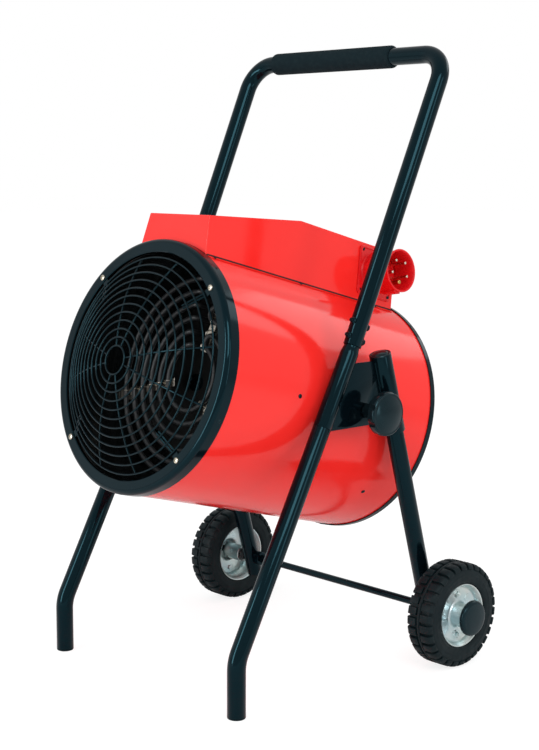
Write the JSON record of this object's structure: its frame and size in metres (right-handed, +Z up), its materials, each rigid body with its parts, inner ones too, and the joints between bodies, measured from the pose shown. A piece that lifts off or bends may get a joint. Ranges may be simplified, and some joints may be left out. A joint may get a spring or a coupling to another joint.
{
  "type": "forced air heater",
  "caption": "Free-standing electric fan heater: a tilting drum with wire guards and a control box in a tubular stand with a push handle and wheels.",
  "frame": {"origin": "centre of the overall box at floor level, where the wheels and the front feet stand", "axes": "+Z up; -Y is the side that blows the warm air, +Y the side with the wheels and the control panel; +X is the side with the power inlet"},
  "size_m": [0.6312, 0.5702, 0.9935],
  "materials": {
    "red_paint": "gloss powder coat",
    "black_paint": "high gloss enamel",
    "guard_wire": "gloss dipped wire",
    "zinc": "bright zinc plate",
    "bright_steel": "galvanised sheet",
    "element_sheath": "oxidised steel sheath",
    "motor_casing": "satin casing",
    "fan_aluminium": "pressed sheet",
    "tyre_rubber": "moulded block tread",
    "foam_rubber": "fine foam skin",
    "black_plastic": "fine moulded grain",
    "gloss_black_plastic": "polished moulding",
    "red_plastic": "moulded, slightly satin",
    "contact_metal": "nickelled brass pins",
    "lamp_lens": "clear amber"
  },
  "bodies": {
    "stand": {"handle": "black_paint", "handle_grip": "foam_rubber", "front_leg_right": "black_paint", "front_foot_cap_right": "black_plastic", "side_bracket_right": "black_paint", "socket_cap_right": "gloss_black_plastic", "rear_leg_right": "black_paint", "handle_bolt_lower_right": "black_paint", "handle_bolt_upper_right": "black_paint", "wheel_spacer_right": "black_plastic", "axle_collar_right": "black_paint", "front_leg_left": "black_paint", "front_foot_cap_left": "black_plastic", "side_bracket_left": "black_paint", "socket_cap_left": "gloss_black_plastic", "rear_leg_left": "black_paint", "handle_bolt_lower_left": "black_paint", "handle_bolt_upper_left": "black_paint", "wheel_spacer_left": "black_plastic", "axle_collar_left": "black_paint", "axle": "black_paint"},
    "wheel_right": {"tyre_right": "tyre_rubber", "wheel_rim_right": "zinc", "hub_cap_right": "gloss_black_plastic"},
    "wheel_left": {"tyre_left": "tyre_rubber", "wheel_rim_left": "zinc", "hub_cap_left": "gloss_black_plastic"},
    "clamp_knob_right": {"clamp_knob_right": "gloss_black_plastic"},
    "clamp_knob_left": {"clamp_knob_left": "gloss_black_plastic"},
    "drum": {"drum_shell": "red_paint", "front_ring": "black_paint", "rear_ring": "black_paint", "front_guard": "guard_wire", "rear_guard": "guard_wire", "guard_screw_upper_right": "zinc", "guard_screw_lower_right": "zinc", "guard_screw_upper_left": "zinc", "guard_screw_lower_left": "zinc", "pivot_stud_right": "zinc", "pivot_stud_left": "zinc", "heat_shield": "black_paint", "heating_element_outer": "element_sheath", "heating_element_middle": "element_sheath", "heating_element_inner": "element_sheath", "element_bracket_1": "bright_steel", "element_bracket_2": "bright_steel", "element_bracket_3": "bright_steel", "fan_motor": "motor_casing", "motor_mount": "bright_steel", "control_box": "red_paint", "control_panel": "black_paint", "power_lamp": "lamp_lens", "inlet_housing": "red_plastic", "inlet_pins": "contact_metal"},
    "fan": {"fan": "fan_aluminium"},
    "selector_knob": {"selector_knob": "black_plastic"},
    "thermostat_knob": {"thermostat_knob": "black_plastic"},
    "reset_button": {"reset_button": "black_plastic"}
  },
  "joints": [
    {"name": "drum_tilt", "type": "hinge", "parent": "stand", "child": "drum", "pos_m": [0, 0.04615, 0.4263], "axis": [-1, 0, 0], "range_deg": [-15, 30]},
    {"name": "wheel_spin_right", "type": "hinge", "parent": "stand", "child": "wheel_right", "pos_m": [0.2666, 0.20015, 0.085], "axis": [1, 0, 0], "continuous": true},
    {"name": "wheel_spin_left", "type": "hinge", "parent": "stand", "child": "wheel_left", "pos_m": [-0.2666, 0.20015, 0.085], "axis": [1, 0, 0], "continuous": true},
    {"name": "clamp_turn_right", "type": "hinge", "parent": "stand", "child": "clamp_knob_right", "pos_m": [0.2431, 0.04615, 0.4263], "axis": [1, 0, 0], "range_deg": [0, 360]},
    {"name": "clamp_turn_left", "type": "hinge", "parent": "stand", "child": "clamp_knob_left", "pos_m": [-0.2431, 0.04615, 0.4263], "axis": [-1, 0, 0], "range_deg": [0, 360]},
    {"name": "fan_spin", "type": "hinge", "parent": "drum", "child": "fan", "pos_m": [0, 0.09541, 0.4131], "axis": [0, 0.9659, -0.2588], "continuous": true},
    {"name": "selector_turn", "type": "hinge", "parent": "drum", "child": "selector_knob", "pos_m": [-0.031, 0.26036, 0.6153], "axis": [0, -0.9659, 0.2588], "range_deg": [0, 180]},
    {"name": "thermostat_turn", "type": "hinge", "parent": "drum", "child": "thermostat_knob", "pos_m": [0.031, 0.26036, 0.6153], "axis": [0, -0.9659, 0.2588], "range_deg": [-135, 135]},
    {"name": "reset_press", "type": "slide", "parent": "drum", "child": "reset_button", "axis": [0, -0.9659, 0.2588], "range_m": [0, 0.003], "stiffness_N_per_m": 300, "springref_m": -0.002}
  ]
}
